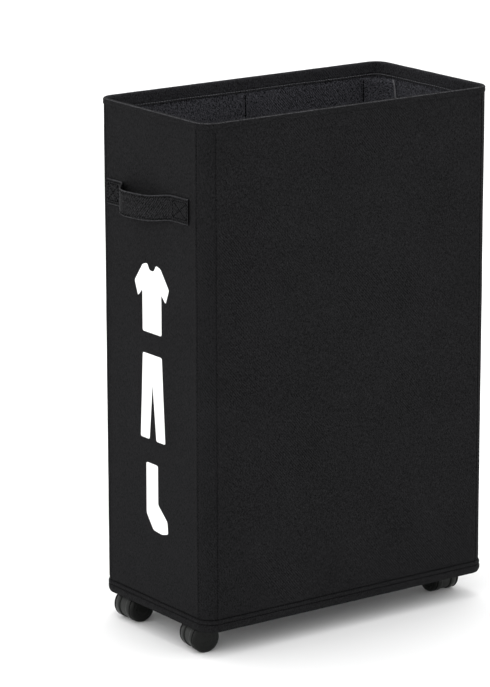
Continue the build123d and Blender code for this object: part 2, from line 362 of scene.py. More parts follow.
class Nodes:
    """Short hand for building one material's node tree."""

    def __init__(self, name):
        self.material = bpy.data.materials.new(name)
        self.material.use_nodes = True
        self.tree = self.material.node_tree
        self.shader = self.tree.nodes["Principled BSDF"]

    def add(self, kind, **values):
        """Adds a node, sets its properties and its inputs (named with _ for a space)."""
        node = self.tree.nodes.new(kind)
        for key, value in values.items():
            if hasattr(node, key):
                setattr(node, key, value)
            else:
                self.feed(node.inputs[key.replace("_", " ")], value)
        return node

    def feed(self, socket, value):
        """Links an output to a socket, or sets the socket's own value."""
        if isinstance(value, bpy.types.NodeSocket):
            self.tree.links.new(value, socket)
        else:
            socket.default_value = value

    def shade(self, key, value):
        """Feeds one of the shader's own inputs."""
        self.feed(self.shader.inputs[key], value)

    def math(self, operation, a, b=0.0, c=0.0):
        """One arithmetic step."""
        node = self.tree.nodes.new("ShaderNodeMath")
        node.operation = operation
        for socket, value in zip(node.inputs, (a, b, c)):
            self.feed(socket, value)
        return node.outputs[0]

    def times(self, a, b):
        """Product of two values."""
        return self.math("MULTIPLY", a, b)

    def blend(self, a, share, rest):
        """A share of one value on top of the rest."""
        return self.math("MULTIPLY_ADD", a, share, rest)

    def noise(self, vector, scale, detail=2.0, roughness=0.5):
        """Noise centred on 0.5."""
        node = self.add("ShaderNodeTexNoise", Vector=vector, Scale=scale, Detail=detail, Roughness=roughness)
        return node.outputs["Fac"]

    def place(self, source="Object", scale=(1, 1, 1), turn=0.0):
        """Object or UV coordinates, scaled and turned about the third axis."""
        coordinates = self.tree.nodes.new("ShaderNodeTexCoord")
        mapping = self.add("ShaderNodeMapping", Vector=coordinates.outputs[source])
        mapping.inputs["Scale"].default_value = scale
        mapping.inputs["Rotation"].default_value = (0, 0, turn)
        return mapping.outputs[0]

    def ramp(self, value, low, high, low_at=0.0, high_at=1.0):
        """Colours between two ends."""
        node = self.add("ShaderNodeValToRGB", Fac=value)
        node.color_ramp.elements[0].position = low_at
        node.color_ramp.elements[1].position = high_at
        node.color_ramp.elements[0].color = (*low, 1)
        node.color_ramp.elements[1].color = (*high, 1)
        return node.outputs["Color"]

    def bump(self, height, distance, strength=1.0, under=None):
        """Bump by a height from 0 to 1 times a distance."""
        node = self.add("ShaderNodeBump", Height=height, Distance=distance, Strength=strength)
        if under is not None:
            self.feed(node.inputs["Normal"], under)
        return node.outputs["Normal"]


def grey(level, blue=1.06):
    """Nearly neutral colour with a slightly cool cast."""
    return (level, level, level * blue)


def moss(level, cast=0.001):
    """Grey plastic colour with a faint green cast."""
    return (level, level + cast, level)


def weave(nodes, pitch_u, pitch_v, source="UV"):
    """Height of a plain weave, 0 to 1, with threads crossing over and under."""
    cloth = nodes.place(source, (1 / pitch_u, 1 / pitch_v, 1))
    split = nodes.add("ShaderNodeSeparateXYZ", Vector=cloth)
    wave_u = nodes.math("SINE", nodes.times(split.outputs[0], pi))
    wave_v = nodes.math("SINE", nodes.times(split.outputs[1], pi))
    crossing = nodes.times(wave_u, wave_v)
    over = nodes.blend(crossing, 0.4, 0.6)
    under = nodes.blend(crossing, -0.4, 0.6)
    warp = nodes.times(nodes.math("ABSOLUTE", wave_u), over)
    weft = nodes.times(nodes.math("ABSOLUTE", wave_v), under)
    return nodes.math("MAXIMUM", warp, weft)


def ridges(nodes, pitch):
    """Height of the slanting ribs that the crossing threads draw, 0 to 1, wandering a little."""
    straight = nodes.place("UV", (1 / pitch, 1 / pitch, 1), radians(-42))
    split = nodes.add("ShaderNodeSeparateXYZ", Vector=straight)
    wander = nodes.noise(nodes.place("UV", (60, 60, 1)), 1.0, 2.0)
    phase = nodes.blend(wander, 1.2, split.outputs[0])
    return nodes.blend(nodes.math("SINE", nodes.times(phase, 2 * pi)), 0.5, 0.5)


def cloth_material(
    name, dark, light, pitch=weave_pitch, relief=0.16 * mm, grain=1.0, gloss=0.03,
    twill_pitch=2.3 * mm, twill_from=0.46,
):
    """Coated oxford cloth: crossing threads, uneven yarn, slanting grain, specks and soft clouding."""
    nodes = Nodes(name)
    threads = weave(nodes, pitch, pitch * 0.8)
    yarn_u = nodes.noise(nodes.place("UV", (110, 1500, 1)), 1.0, 2.0)
    yarn_v = nodes.noise(nodes.place("UV", (1300, 120, 1)), 1.0, 2.0)
    slant = nodes.noise(nodes.place("UV", (700, 330, 1), radians(38)), 1.0, 3.0, 0.65)
    twill = ridges(nodes, twill_pitch)
    specks = nodes.noise(nodes.place(), 780.0, 2.0, 0.7)
    clouds = nodes.noise(nodes.place(), 16.0, 5.0, 0.6)
    where = nodes.noise(nodes.place(), 9.0, 3.0, 0.5)
    patches = nodes.times(nodes.math("SUBTRACT", where, twill_from), 7.0)
    share = nodes.math("MAXIMUM", nodes.math("MINIMUM", patches, 1.0), 0.12)
    twill = nodes.times(nodes.math("SUBTRACT", twill, 0.5), share)
    grains = nodes.math("ADD", nodes.math("SUBTRACT", slant, 0.5), nodes.math("SUBTRACT", specks, 0.5))
    yarns = nodes.times(nodes.math("ADD", yarn_u, yarn_v), 0.3)
    tone = nodes.blend(threads, 0.3, yarns)
    tone = nodes.blend(twill, 0.3 * grain, tone)
    tone = nodes.blend(grains, 1.3 * grain, tone)
    tone = nodes.blend(nodes.math("SUBTRACT", clouds, 0.5), 0.3, tone)
    nodes.shade("Base Color", nodes.ramp(tone, dark, light, 0.05, 1.0))
    roughness = nodes.blend(clouds, 0.2, 0.62)
    nodes.shade("Roughness", nodes.blend(threads, 0.08, roughness))
    relief_map = nodes.math("ADD", nodes.times(twill, 0.7), nodes.times(grains, 0.9))
    coarse = nodes.bump(relief_map, 0.3 * mm * grain, 0.8)
    fine = nodes.bump(threads, relief, 1.0, coarse)
    nodes.shade("Normal", fine)
    nodes.shade("Specular IOR Level", gloss)
    nodes.shade("Sheen Weight", 0.004)
    nodes.shade("Sheen Roughness", 0.5)
    return nodes.material


def thread_material(name, dark, light):
    """Twisted sewing thread."""
    nodes = Nodes(name)
    twist = nodes.noise(nodes.place(), 2600.0, 2.0, 0.6)
    length = nodes.noise(nodes.place(), 160.0, 1.0)
    tone = nodes.blend(twist, 0.6, nodes.times(length, 0.5))
    nodes.shade("Base Color", nodes.ramp(tone, dark, light, 0.3, 0.8))
    nodes.shade("Roughness", nodes.blend(twist, 0.25, 0.7))
    nodes.shade("Normal", nodes.bump(twist, 0.1 * mm))
    nodes.shade("Specular IOR Level", 0.04)
    return nodes.material


def print_material(name):
    """White screen ink that lets the weave and a few worn pinholes show."""
    nodes = Nodes(name)
    threads = weave(nodes, weave_pitch, 0.5 * mm)
    patches = nodes.noise(nodes.place(), 240.0, 3.0, 0.6)
    holes = nodes.noise(nodes.place(), 1100.0, 2.0, 0.7)
    tone = nodes.blend(patches, 0.35, nodes.times(holes, 0.65))
    ink = nodes.ramp(tone, grey(0.55, 1.0), grey(0.93, 1.0), 0.24, 0.4)
    nodes.shade("Base Color", ink)
    nodes.shade("Roughness", nodes.blend(patches, 0.25, 0.4))
    height = nodes.blend(threads, 0.7, holes)
    nodes.shade("Normal", nodes.bump(height, 0.1 * mm, 0.6))
    nodes.shade("Specular IOR Level", 0.3)
    return nodes.material


def plastic_material(name, dark, light, rough, relief, specular=0.5):
    """Moulded plastic: faint flow marks, fine texture and scuffed spots."""
    nodes = Nodes(name)
    flow = nodes.noise(nodes.place("Object", (1, 1, 2.5)), 90.0, 3.0, 0.55)
    pores = nodes.noise(nodes.place(), 1900.0, 2.0, 0.6)
    scuffs = nodes.noise(nodes.place("Object", (1, 1, 6)), 420.0, 2.0, 0.8)
    tone = nodes.blend(flow, 0.6, nodes.times(scuffs, 0.4))
    nodes.shade("Base Color", nodes.ramp(tone, dark, light, 0.3, 0.75))
    worn = nodes.blend(scuffs, 0.25, nodes.times(flow, 0.12))
    nodes.shade("Roughness", nodes.math("ADD", worn, rough - 0.18))
    nodes.shade("Normal", nodes.bump(pores, relief, 0.7))
    nodes.shade("Specular IOR Level", specular)
    return nodes.material


def metal_material(name, dark, light, rough):
    """Zinc-plated or coated steel with fine drawing marks."""
    nodes = Nodes(name)
    drawn = nodes.noise(nodes.place("Object", (1, 1, 0.08)), 2200.0, 2.0, 0.6)
    spangle = nodes.noise(nodes.place(), 260.0, 3.0, 0.6)
    tone = nodes.blend(spangle, 0.7, nodes.times(drawn, 0.3))
    nodes.shade("Base Color", nodes.ramp(tone, dark, light, 0.3, 0.7))
    nodes.shade("Roughness", nodes.blend(spangle, 0.3, rough - 0.15))
    nodes.shade("Normal", nodes.bump(drawn, 0.03 * mm, 0.6))
    nodes.shade("Metallic", 1.0)
    return nodes.material


bag_cloth = cloth_material("bag_oxford", grey(0.0015), grey(0.021))
hem_cloth = cloth_material("hem_oxford", grey(0.0015), grey(0.022), relief=0.2 * mm, grain=1.2)
# Lighter cloth used as a painted highlight on the hem's ridge and fold and on the strap's edges and fold
highlight_cloth = cloth_material("painted_highlight_edge", grey(0.012), grey(0.075), relief=0.2 * mm, grain=1.5)
lining_cloth = cloth_material(
    "lining_oxford", grey(0.002, 1.15), grey(0.082, 1.15), 0.9 * mm, 0.3 * mm, 2.0, 0.06, 2.2 * mm, 0.5
)
# Lighter cloth for the inner side of the hem
lighter_hem_cloth = cloth_material("lighter_hem", grey(0.002, 1.1), grey(0.042, 1.1), relief=0.2 * mm, grain=1.3)
strap_cloth = cloth_material("strap_oxford", grey(0.0015), grey(0.0265), 0.7 * mm, 0.2 * mm, 2.0)
# Near-black cloth for the strap's ends: painted shadow where the ends stand off the wall
end_shadow_cloth = cloth_material("shaded_end", grey(0.0005), grey(0.004), relief=0.1 * mm)
tape_cloth = cloth_material("edge_tape", grey(0.05), grey(0.17), pitch=0.8 * mm, grain=0.8)
dark_thread = thread_material("dark_thread", grey(0.0005), grey(0.002))
grey_thread = thread_material("grey_thread", grey(0.06), grey(0.2))
white_ink = print_material("white_ink")
wheel_plastic = plastic_material("wheel_plastic", moss(0.006), moss(0.011), 0.42, 0.02 * mm, 0.18)
# Darker, glossier copy of the wheel plastic for the wheel's face: the darker colour is painted shade, the
# gloss is real
shaded_face_plastic = plastic_material(
    "shaded_face_plastic", moss(0.004, 0.0005), moss(0.007, 0.0005), 0.3, 0.02 * mm, 0.13
)
# Near-black plastic in the wheel's groove: painted shade in the recess
groove_shade_plastic = plastic_material("groove_shade_plastic", grey(0.001, 1), grey(0.002, 1), 0.7, 0.02 * mm, 0.03)
housing_plastic = plastic_material("housing_plastic", moss(0.009), moss(0.015), 0.5, 0.05 * mm, 0.2)
hidden_plastic = plastic_material("board_plastic", (0.22, 0.22, 0.23), (0.32, 0.32, 0.33), 0.6, 0.05 * mm)
plug_plastic = plastic_material("plug_plastic", grey(0.01, 1), grey(0.03, 1), 0.5, 0.04 * mm)
zinc = metal_material("zinc_plate", (0.45, 0.46, 0.47), (0.7, 0.71, 0.72), 0.35)
coated = plastic_material("powder_coat", grey(0.012, 1), grey(0.03, 1), 0.45, 0.05 * mm)

# -------------------- outer bag
wall_top_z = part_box("front_panel")[1].z


def wall_swell(s, z):
    """How far the outer cloth stands out from the stiff wall behind it."""
    base, normal = outline(s)
    point = base + up * z
    swell = 0.35 * mm * wave(point, 8, 1.0) + 0.14 * mm * wave(point, 26, 2.0)
    for seam in seams:
        way = abs(round_distance(s, seam))
        if way < 14 * mm:
            depth = 0.75 if seam in narrow_seams else 0.5
            swell -= depth * mm * hump(way, 0.9 * mm)
            swell += 0.3 * depth * mm * hump(way - 2.6 * mm, 1.4 * mm)
            pucker = wave(Vector((s * 0.3, 0, z)), 130, 3.0 + seam)
            swell += 0.3 * depth * mm * pucker * hump(way, 5 * mm)
    below_rim = max(binding_outer_z - z, 0.0)
    swell += 0.22 * mm * wave(Vector((s, 0, 0)), 120, 4.0) * exp(-below_rim / (9 * mm))
    above_band = max(z - band_top_z, 0.0)
    swell += 0.3 * mm * wave(Vector((s, 0, 0)), 105, 5.0) * exp(-above_band / (10 * mm))
    swell -= 0.5 * mm * hump(above_band, 2.2 * mm)
    return swell


def levels(low, high, step, fine=1.2 * mm, reach=8 * mm):
    """Heights between two ends, closer together near both ends."""
    steps = int(reach / fine)
    heights = [low + i * fine for i in range(steps)] + [high - i * fine for i in range(steps)]
    count = ceil((high - low - 2 * reach) / step)
    heights += [low + reach + i * (high - low - 2 * reach) / count for i in range(count + 1)]
    return sorted(set(round(z, 6) for z in heights))


bag_levels = levels(band_top_z - 4 * mm, wall_top_z, 4.5 * mm)
inner_levels = [wall_top_z, (wall_top_z + band_top_z) / 2, band_top_z - 4 * mm]


def bag_section(s):
    """Closed profile of the outer cloth: up its outside, down its inside."""
    outside = [(-wall_inset + wall_swell(s, z), z) for z in bag_levels]
    inside = [(-wall_inset - 0.75 * mm, z) for z in inner_levels]
    return outside + inside


bag_places = stations(3.2 * mm, 0.6 * mm, seams, 4.2 * mm)
bag = sweep_round("bag_outer", bag_places, bag_section, bag_cloth)
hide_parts("front_panel", "back_panel", "left_panel", "right_panel", "corner_panels")
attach(bag, "hamper")

# -------------------- rim binding
binding_radius = 2.6 * mm
roll_z = rim_z - binding_radius
corner_middles = [s_right - arc / 2, s_back - arc / 2, s_left - arc / 2, s_front_end - arc / 2]


def rod_room(s):
    """How far the hem is pulled back at the corners, where the support rods slide past it."""
    way = min(abs(round_distance(s, middle)) for middle in corner_middles)
    return 0.55 * mm * hump(way, 8 * mm, 4)


def hem_low(s):
    """Height of the hem's edge inside the bag, which sags a little unevenly."""
    return binding_inner_z + 0.4 * mm * wave(outline(s)[0], 30, 9.0)


def binding_section(s):
    """Closed profile of the hem rolled over the rim wire, with its two hanging edges."""
    base, _ = outline(s)
    plump = 0.14 * mm * wave(base, 60, 6.0) + 0.08 * mm * wave(base, 170, 7.0)
    low = binding_outer_z + 0.3 * mm * wave(base, 35, 8.0)
    inner_low = hem_low(s)
    wall = -wall_inset + 0.1 * mm
    points = [(wall - 0.5 * mm, low + 0.4 * mm), (wall, low - 0.1 * mm), (wall + 0.55 * mm, low + 0.5 * mm)]
    points += [(wall + 0.75 * mm + 0.5 * plump, low + 2.2 * mm), (-0.15 * mm + plump, roll_z - 0.6 * mm)]
    reach = binding_radius + 0.1 * mm + plump
    for angle in (18, 36, 50, 62, 90, 120, 150):
        turn = radians(angle)
        height = min(reach * sin(turn), binding_radius + 0.1 * mm)
        points.append((-binding_radius + reach * cos(turn), roll_z + height))
    inner = -2 * binding_radius - 0.15 * mm - plump + rod_room(s)
    points += [(inner, roll_z - 0.5 * mm), (inner + 0.25 * mm, roll_z - 5 * mm)]
    for out, rise in ((0, 5.5), (-0.25, 3.4), (0.2, 2), (-0.3, 0.9), (0, 0), (0.6, 0.2)):
        points.append((inner + out * mm, inner_low + rise * mm))
    points += [(-4.5 * mm, roll_z), (-binding_radius, roll_z + 1.9 * mm), (wall - 0.5 * mm, roll_z)]
    return points


# The ridge of the roll and the folded edge inside are lighter as a painted highlight; the inner side is
# lighter too
hem_finishes = [(lighter_hem_cloth, range(9, 17)), (highlight_cloth, (6, 7, 17, 18))]
binding = sweep_round("rim_hem", stations(1.3 * mm), binding_section, hem_cloth, hem_finishes)
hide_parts("rim_binding")
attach(binding, "hamper")


# -------------------- bottom band
# The band's outer side: how far out in mm, how far below its top edge in mm, its share of the slack
band_shape = [
    (-1.1, 0.3, 0.0), (-0.5, 0.6, 0.2), (0.15, 1.8, 0.8), (0.2, 3.2, 0.8), (0.1, 4.2, 0.5), (-1.0, 4.9, 0.1),
    (0.15, 5.7, 0.8), (0.45, 7.4, 1.4), (0.4, 9.0, 1.4), (0.1, 10.8, 1.0), (-0.7, 12.6, 0.7),
]


def band_section(s):
    """Closed profile of the gathered band that turns in under the bottom edge."""
    base, _ = outline(s)
    gather = wave(base, 95, 10.0)
    turning = min(abs(round_distance(s, seam)) for seam in seams)
    plump = (0.35 + 0.3 * exp(-turning / (14 * mm))) * mm * gather + 0.14 * mm * wave(base, 260, 11.0)
    outside = [(out, band_top_z - drop * mm, share) for out, drop, share in band_shape]
    outside += [(-1.3, skirt_z + 0.35 * mm, 0.4), (-1.75, skirt_z + 0.2 * mm, 0.1)]
    inside = [(-1.85, skirt_z + 0.9 * mm), (-1.75, skirt_z + 3 * mm)]
    inside += [(-1.7, skirt_z + 8 * mm), (-1.7, band_top_z - 2 * mm)]
    return [(out * mm + share * plump, z) for out, z, share in outside] + [(out * mm, z) for out, z in inside]


band = sweep_round("bottom_hem", stations(1.6 * mm), band_section, hem_cloth)
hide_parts("bottom_band")
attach(band, "hamper")

# -------------------- lining
back_crease = around_wide(-1.5 * mm, 1)


def lining_swell(s, z):
    """How far the lining stands into the room: soft slack, and a tuck down the back's middle."""
    base, _ = outline(s)
    point = base + up * z
    slack = 0.55 * mm * (1 + wave(point, 13, 12.0)) + 0.22 * mm * (1 + wave(point, 42, 13.0))
    way = round_distance(s, back_crease)
    width = 0.7 * mm if way < 0 else 9 * mm
    slack += 2.4 * mm * hump(way, width)
    slack -= 0.5 * mm * hump(way + 2.6 * mm, 0.9 * mm)
    under_hem = ease((binding_inner_z + 1 * mm - z) / (14 * mm))
    return slack * (0.12 + 0.88 * under_hem)


def lining_section(s):
    """Closed profile of the wall lining: down its room side, up its hidden side."""
    seen = [(-room_inset - lining_swell(s, z), z) for z in reversed(lining_levels)]
    hidden = [(-room_inset + 0.6 * mm, z) for z in (floor_z, (floor_z + wall_top_z) / 2, wall_top_z)]
    return seen + hidden


lining_levels = levels(floor_z, wall_top_z, 5 * mm, 2.0 * mm)
lining_places = stations(3.6 * mm, 0.5 * mm, [back_crease], 14 * mm)
lining = sweep_round("wall_lining", lining_places, lining_section, lining_cloth)
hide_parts("liner")
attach(lining, "hamper")


def flat_sheet(name, inset, step, height, thickness, material):
    """Closed sheet over the rounded outline; height(x, y) gives its upper face."""
    reach_x = half_x - inset
    reach_y = half_y - inset
    radius = corner_radius - inset
    columns = ceil(2 * reach_x / step)
    rows = ceil(2 * reach_y / step)
    vertices = []
    for top in (True, False):
        for j in range(rows + 1):
            y = -reach_y + 2 * reach_y * j / rows
            over = max(abs(y) - (reach_y - radius), 0.0)
            narrow = reach_x - radius + sqrt(max(radius * radius - over * over, 0.0))
            for i in range(columns + 1):
                x = (-1 + 2 * i / columns) * narrow
                level = height(x, y)
                vertices.append((x, y, level if top else level - thickness))
    across = columns + 1
    lower = across * (rows + 1)
    faces = []
    for j in range(rows):
        for i in range(columns):
            a = j * across + i
            faces.append((a, a + 1, a + across + 1, a + across))
            faces.append((lower + a, lower + a + across, lower + a + across + 1, lower + a + 1))
    border = list(range(across)) + [j * across + columns for j in range(1, rows + 1)]
    border += [rows * across + i for i in range(columns - 1, -1, -1)]
    border += [j * across for j in range(rows - 1, 0, -1)]
    for a, b in zip(border, border[1:] + border[:1]):
        faces.append((a, lower + a, lower + b, b))
    uvs = [(vertices[v][0], vertices[v][1]) for face in faces for v in face]
    return face_outwards(make_object(name, vertices, faces, material, uvs))


def floor_height(x, y):
    """The floor cloth lies on the base board with a little slack and a soft edge."""
    point = Vector((x, y, 0))
    edge = min(half_x - room_inset - abs(x), half_y - room_inset - abs(y))
    slack = 0.3 * mm * (1 + wave(point, 17, 14.0)) + 0.12 * mm * (1 + wave(point, 60, 15.0))
    return room_high.z - 0.2 * mm + slack * ease(edge / (10 * mm)) + 0.9 * mm * exp(-edge / (3 * mm))


floor_cloth = flat_sheet("floor_cloth", room_inset + 0.4 * mm, 5 * mm, floor_height, 0.5 * mm, lining_cloth)
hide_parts("floor_lining")
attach(floor_cloth, "hamper")

under_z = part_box("bottom_panel")[1].z
plates = [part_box(name) for name in frame["nodes"] if name.startswith("caster_plate")]


def under_height(x, y):
    """The outer bottom cloth is tight over the plates and hangs a little between them."""
    way = min(hypot(max(lo.x - x, x - hi.x, 0), max(lo.y - y, y - hi.y, 0)) for lo, hi in plates)
    hang = ease(way / (45 * mm)) * (1.0 * mm + 0.5 * mm * wave(Vector((x, y, 0)), 16, 16.0))
    return under_z - hang


under_cloth = flat_sheet("bottom_cloth", wall_inset + 1.0 * mm, 5 * mm, under_height, 0.7 * mm, bag_cloth)
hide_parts("bottom_panel")
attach(under_cloth, "hamper")

# -------------------- corner sleeves
corner_sides = {"front_left": (-1, -1), "front_right": (1, -1), "back_left": (-1, 1), "back_right": (1, 1)}
sleeve_top = binding_inner_z - 1.2 * mm
sleeve_bottom = room_high.z + 0.6 * mm


def smooth_path(points, steps):
    """Catmull-Rom curve through 2-D points."""
    padded = [points[0]] + list(points) + [points[-1]]
    curve = []
    for p0, p1, p2, p3 in zip(padded, padded[1:], padded[2:], padded[3:]):
        for i in range(steps):
            t = i / steps
            weights = (
                -0.5 * t + t * t - 0.5 * t ** 3,
                1 - 2.5 * t * t + 1.5 * t ** 3,
                0.5 * t + 2 * t * t - 1.5 * t ** 3,
                -0.5 * t * t + 0.5 * t ** 3,
            )
            curve.append(tuple(sum(w * p[k] for w, p in zip(weights, (p0, p1, p2, p3))) for k in (0, 1)))
    curve.append(tuple(points[-1]))
    return curve


def upright_strip(name, plan, thickness, low, high, material, slack=0.3 * mm, lean=0.0):
    """A strip of cloth standing on a plan curve; its top leans along Y by the given amount."""
    count = len(plan)
    normals = []
    for i in range(count):
        a = Vector((*plan[max(i - 1, 0)], 0))
        b = Vector((*plan[min(i + 1, count - 1)], 0))
        along = (b - a).normalized()
        normals.append(Vector((-along.y, along.x, 0)))
    steps = ceil((high - low) / (6 * mm))
    heights = [low + (high - low) * j / steps for j in range(steps + 1)]
    path = [(up * z, Vector((1, 0, 0)), Vector((0, 1, 0))) for z in heights]

    def section(j):
        z = path[j][0].z
        shift_y = lean * exp(-(high - z) / (14 * mm))
        near = []
        far = []
        for (x, y), normal in zip(plan, normals):
            shift = slack * wave(Vector((x, y, z)), 45, 20.0)
            near.append((x + normal.x * shift, y + shift_y + normal.y * shift))
            far.append((x + normal.x * (shift + thickness), y + shift_y + normal.y * (shift + thickness)))
        return near + far[::-1]

    return sweep_path(name, path, section, material)


# Stitch places in the lining: along the sleeves here, and along the back's crease further down
upright_pitch = 3.6 * mm
lining_rows = []
for corner, (side_x, side_y) in corner_sides.items():
    low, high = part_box(f"corner_sleeve_{corner}")
    wide_x = low.x if side_x > 0 else high.x
    narrow_y = low.y if side_y > 0 else high.y
    wall_x = side_x * (half_x - room_inset - 0.9 * mm)
    wall_y = side_y * (half_y - room_inset - 0.9 * mm)
    plan = [
        (wide_x - side_x * 7 * mm, wall_y),
        (wide_x - side_x * 1 * mm, wall_y),
        (wide_x + side_x * 3.4 * mm, wall_y - side_y * 4.6 * mm),
        ((wide_x + wall_x) / 2 - side_x * 0.6 * mm, (wall_y + narrow_y) / 2 - side_y * 0.4 * mm),
        (wall_x - side_x * 3.0 * mm, narrow_y + side_y * 4.4 * mm),
        (wall_x, narrow_y - side_y * 1.5 * mm),
        (wall_x, narrow_y - side_y * 8 * mm),
    ]
    turned = side_x * side_y
    name = f"rod_sleeve_{corner}"
    ends = (sleeve_bottom, sleeve_top)
    sleeve = upright_strip(name, smooth_path(plan, 5), -turned * 0.6 * mm, *ends, lining_cloth)
    edge_x = wall_x - side_x * 0.7 * mm
    edge = smooth_path([(edge_x, narrow_y - side_y * 7.5 * mm), (edge_x, narrow_y - side_y * 10 * mm)], 3)
    lean = side_y * 6 * mm
    tape = upright_strip(f"sleeve_tape_{corner}", edge, -turned * 0.9 * mm, *ends, tape_cloth, 0.1 * mm, lean)
    sleeve = join(name, [sleeve, tape])
    for i in range(int((sleeve_top - sleeve_bottom) / upright_pitch)):
        z = sleeve_bottom + (i + 0.5) * upright_pitch
        point = Vector((wide_x - side_x * 4.5 * mm, wall_y - side_y * 0.65 * mm, z))
        lining_rows.append((point, up, Vector((0, -side_y, 0))))
    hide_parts(f"corner_sleeve_{corner}")
    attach(sleeve, "hamper")

# -------------------- strap handles
strap_low, strap_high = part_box("handle_left")
strap_middle_z = (strap_low.z + strap_high.z) / 2
strap_half = (strap_high.z - strap_low.z) / 2
strap_middle_y = (strap_low.y + strap_high.y) / 2
strap_face = half_x - wall_inset
strap_right = strap_low.y
strap_left = strap_high.y
strap_out = -strap_low.x - strap_face
sheet_half = 0.85 * mm

# Place along the wall and distance from it of the strap's middle layer, as a share in the loop
loop_top = strap_out - 1.9 * mm
loop_shape = [
    (37, 0.17), (46, 0.38), (58, 0.65), (72, 0.87), (88, 0.98), (97, 1.0), (103, 0.95),
    (107.8, 0.82), (112.8, 0.58), (117.8, 0.32), (122.4, 0.13),
]
strap_shape = [(strap_right, 1.0 * mm), (strap_right + 15 * mm, 1.0 * mm), (strap_right + 29 * mm, 1.05 * mm)]
strap_shape += [(strap_right + along * mm, share * loop_top) for along, share in loop_shape]
strap_shape += [(strap_right + 126.6 * mm, 1.1 * mm)]
strap_shape += [(strap_left - 12 * mm, 1.0 * mm), (strap_left, 1.0 * mm)]
strap_seam = 2.6 * mm
strap_lean = 0.016
strap_steps = 28
strap_edges = (0, strap_steps - 1, strap_steps, 2 * strap_steps - 1)
loop_start = strap_right + 30 * mm
loop_end = strap_left - 23 * mm


def strap_droop(y):
    """How far the slack loop hangs below the line between its sewn ends."""
    along = (y - loop_start) / (loop_end - loop_start)
    return 3.2 * mm * ease(along * 3) * ease((1 - along) * 2.6)


def strap_section(twist):
    """Flat folded strap: soft rounded edges and two shallow top-stitched channels."""
    upper = []
    for i in range(strap_steps + 1):
        t = -1 + 2 * i / strap_steps
        across = t * strap_half
        from_edge = strap_half - abs(across)
        body = sheet_half * sqrt(max(0.0, 1 - max(0.0, (abs(t) - 0.93) / 0.07) ** 2))
        channel = 0.28 * mm * hump(from_edge - strap_seam, 0.7 * mm)
        upper.append((across, max(body - channel, 0.02 * mm) + twist(t)))
    lower = [(a, -b + 2 * twist(a / strap_half)) for a, b in upper[1:-1]]
    return upper + lower[::-1]


def strap_frames(side, points):
    """Frames along the strap on the left (side -1) or right (side 1) wall."""
    frames = []
    for i, (y, out) in enumerate(points):
        before = points[max(i - 1, 0)]
        after = points[min(i + 1, len(points) - 1)]
        along = Vector((side * (after[1] - before[1]), -side * (after[0] - before[0]), 0)).normalized()
        height = strap_middle_z - strap_lean * (y - strap_middle_y) - strap_droop(y)
        point = Vector((side * (strap_face + out), -side * y, height))
        frames.append((point, up, along.cross(up) * -1))
    return frames


def strap_stitches(side, points):
    """Top-stitching along both edges, and a box with a cross on each sewn patch."""
    places = []
    pitch = 3.0 * mm
    travelled = 0.0
    frames = strap_frames(side, points)
    for i in range(1, len(frames)):
        step = (frames[i][0] - frames[i - 1][0]).length
        travelled += step
        if travelled >= pitch:
            travelled = 0.0
            along = (frames[i][0] - frames[i - 1][0]).normalized()
            for edge in (-1, 1):
                point = frames[i][0] + up * (edge * (strap_half - strap_seam))
                places.append((point + frames[i][2] * (sheet_half - 0.25 * mm), along, frames[i][2]))
    surface = strap_face + 1.0 * mm + sheet_half
    patches = ((strap_right + 2.5 * mm, strap_right + 28 * mm), (strap_left - 22 * mm, strap_left - 2.5 * mm))
    for low, high in patches:
        bottom = -strap_half + 5 * mm
        top = strap_half - 5 * mm
        lines = [((low, bottom), (low, top)), ((high, bottom), (high, top))]
        lines += [((low, bottom), (high, bottom)), ((low, top), (high, top))]
        lines += [((low, bottom), (high, top)), ((low, top), (high, bottom))]
        for (y0, z0), (y1, z1) in lines:
            count = max(int(hypot(y1 - y0, z1 - z0) / pitch), 2)
            along = Vector((0, -side * (y1 - y0), z1 - z0)).normalized()
            for i in range(count):
                t = (i + 0.5) / count
                y = y0 + (y1 - y0) * t
                lean = strap_lean * (y - strap_middle_y)
                place = Vector((side * surface, -side * y, strap_middle_z - lean + z0 + (z1 - z0) * t))
                places.append((place, along, Vector((side, 0, 0))))
    return places


strap_curve = smooth_path(strap_shape, 12)
# The places along the strap where it folds back to the wall, lighter as a painted highlight
strap_fold = range(111, 126)
for side, name in ((-1, "left"), (1, "right")):
    frames = strap_frames(side, strap_curve)

    def section(i):
        """The strap's edges ripple a little along its loose stretch."""
        point = frames[i][0]
        free = ease((abs(point.x) - strap_face - 2 * mm) / (6 * mm))

        def twist(t):
            return free * (0.35 * mm * t * wave(point, 30, 21.0) + 0.5 * mm * (t * t - 0.4))

        return strap_section(twist)

    # The strap's edge rows get the lighter cloth as a painted highlight
    worn = [(highlight_cloth, strap_edges)]
    # Its ends get the near-black cloth as a painted shadow
    strap = sweep_path(f"strap_{name}", frames, section, strap_cloth, worn, end_shadow_cloth)
    # Faces round the fold get the lighter cloth as a painted highlight
    for face in strap.data.polygons:
        if face.index // (2 * strap_steps) in strap_fold:
            face.material_index = 1  # highlight_cloth
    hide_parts(f"handle_{name}")
    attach(strap, "hamper")

handle_rows = strap_stitches(-1, strap_curve) + strap_stitches(1, strap_curve)
handle_thread = stitches("strap_stitching", handle_rows, 2.5 * mm, 0.48 * mm, dark_thread)
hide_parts("handle_stitching")
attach(handle_thread, "hamper")


# -------------------- stitching rows
def row_round(z, out, pitch, outward=1):
    """Stitch places round the outline at one level."""
    places = []
    count = int(perimeter / pitch)
    for i in range(count):
        s = i * perimeter / count
        base, normal = outline(s)
        ahead, _ = outline(s + 0.5 * mm)
        point = base + normal * out(s) + up * z(s)
        places.append((point, (ahead - base).normalized(), normal * outward))
    return places


